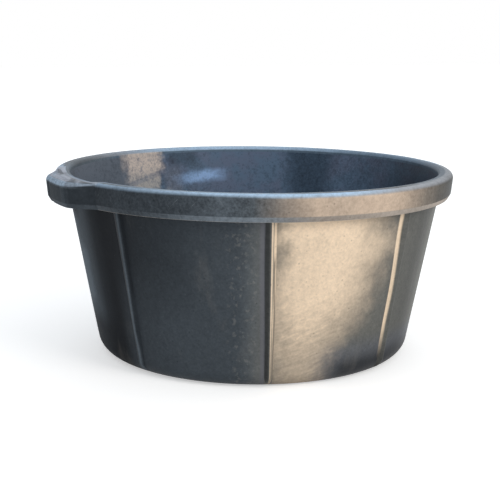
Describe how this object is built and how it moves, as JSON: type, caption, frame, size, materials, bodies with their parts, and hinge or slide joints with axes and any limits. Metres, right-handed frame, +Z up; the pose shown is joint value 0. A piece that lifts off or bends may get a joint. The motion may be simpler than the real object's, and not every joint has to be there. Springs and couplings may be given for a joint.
{
  "type": "rubber feed pan",
  "caption": "Deep round rubber livestock feed pan with a tapered ribbed wall, a heavy rim band and a grip lug, laid up from a lining, cord plies and an outer cover.",
  "frame": {"origin": "centre of the flat underside, at ground level", "axes": "+Z up out of the bowl along the pan's axis, -X towards the middle of the grip lug"},
  "size_m": [0.6431, 0.62, 0.287],
  "materials": {
    "liner_rubber": "satin moulded black rubber with a grey bloom, scuffed by use",
    "cover_rubber": "semi-gloss moulded black rubber with a fine dusty film",
    "base_rubber": "dull black rubber, worn by the ground",
    "rim_rubber": "satin black rubber, rubbed smoother on top",
    "lug_rubber": "satin black rubber, scuffed",
    "rib_rubber": "semi-gloss moulded black rubber",
    "wall_cord": "rubber-coated tyre cord fabric",
    "floor_cord": "rubber-coated tyre cord fabric"
  },
  "bodies": {
    "root": {"inner_liner": "liner_rubber", "wall_cord_ply": "wall_cord", "floor_cord_ply": "floor_cord", "outer_cover": "cover_rubber", "base_disc": "base_rubber", "rim_band": "rim_rubber", "grip_lug": "lug_rubber", "wall_rib_1": "rib_rubber", "wall_rib_2": "rib_rubber", "wall_rib_3": "rib_rubber", "wall_rib_4": "rib_rubber", "wall_rib_5": "rib_rubber", "wall_rib_6": "rib_rubber", "wall_rib_7": "rib_rubber", "wall_rib_8": "rib_rubber"}
  },
  "joints": []
}
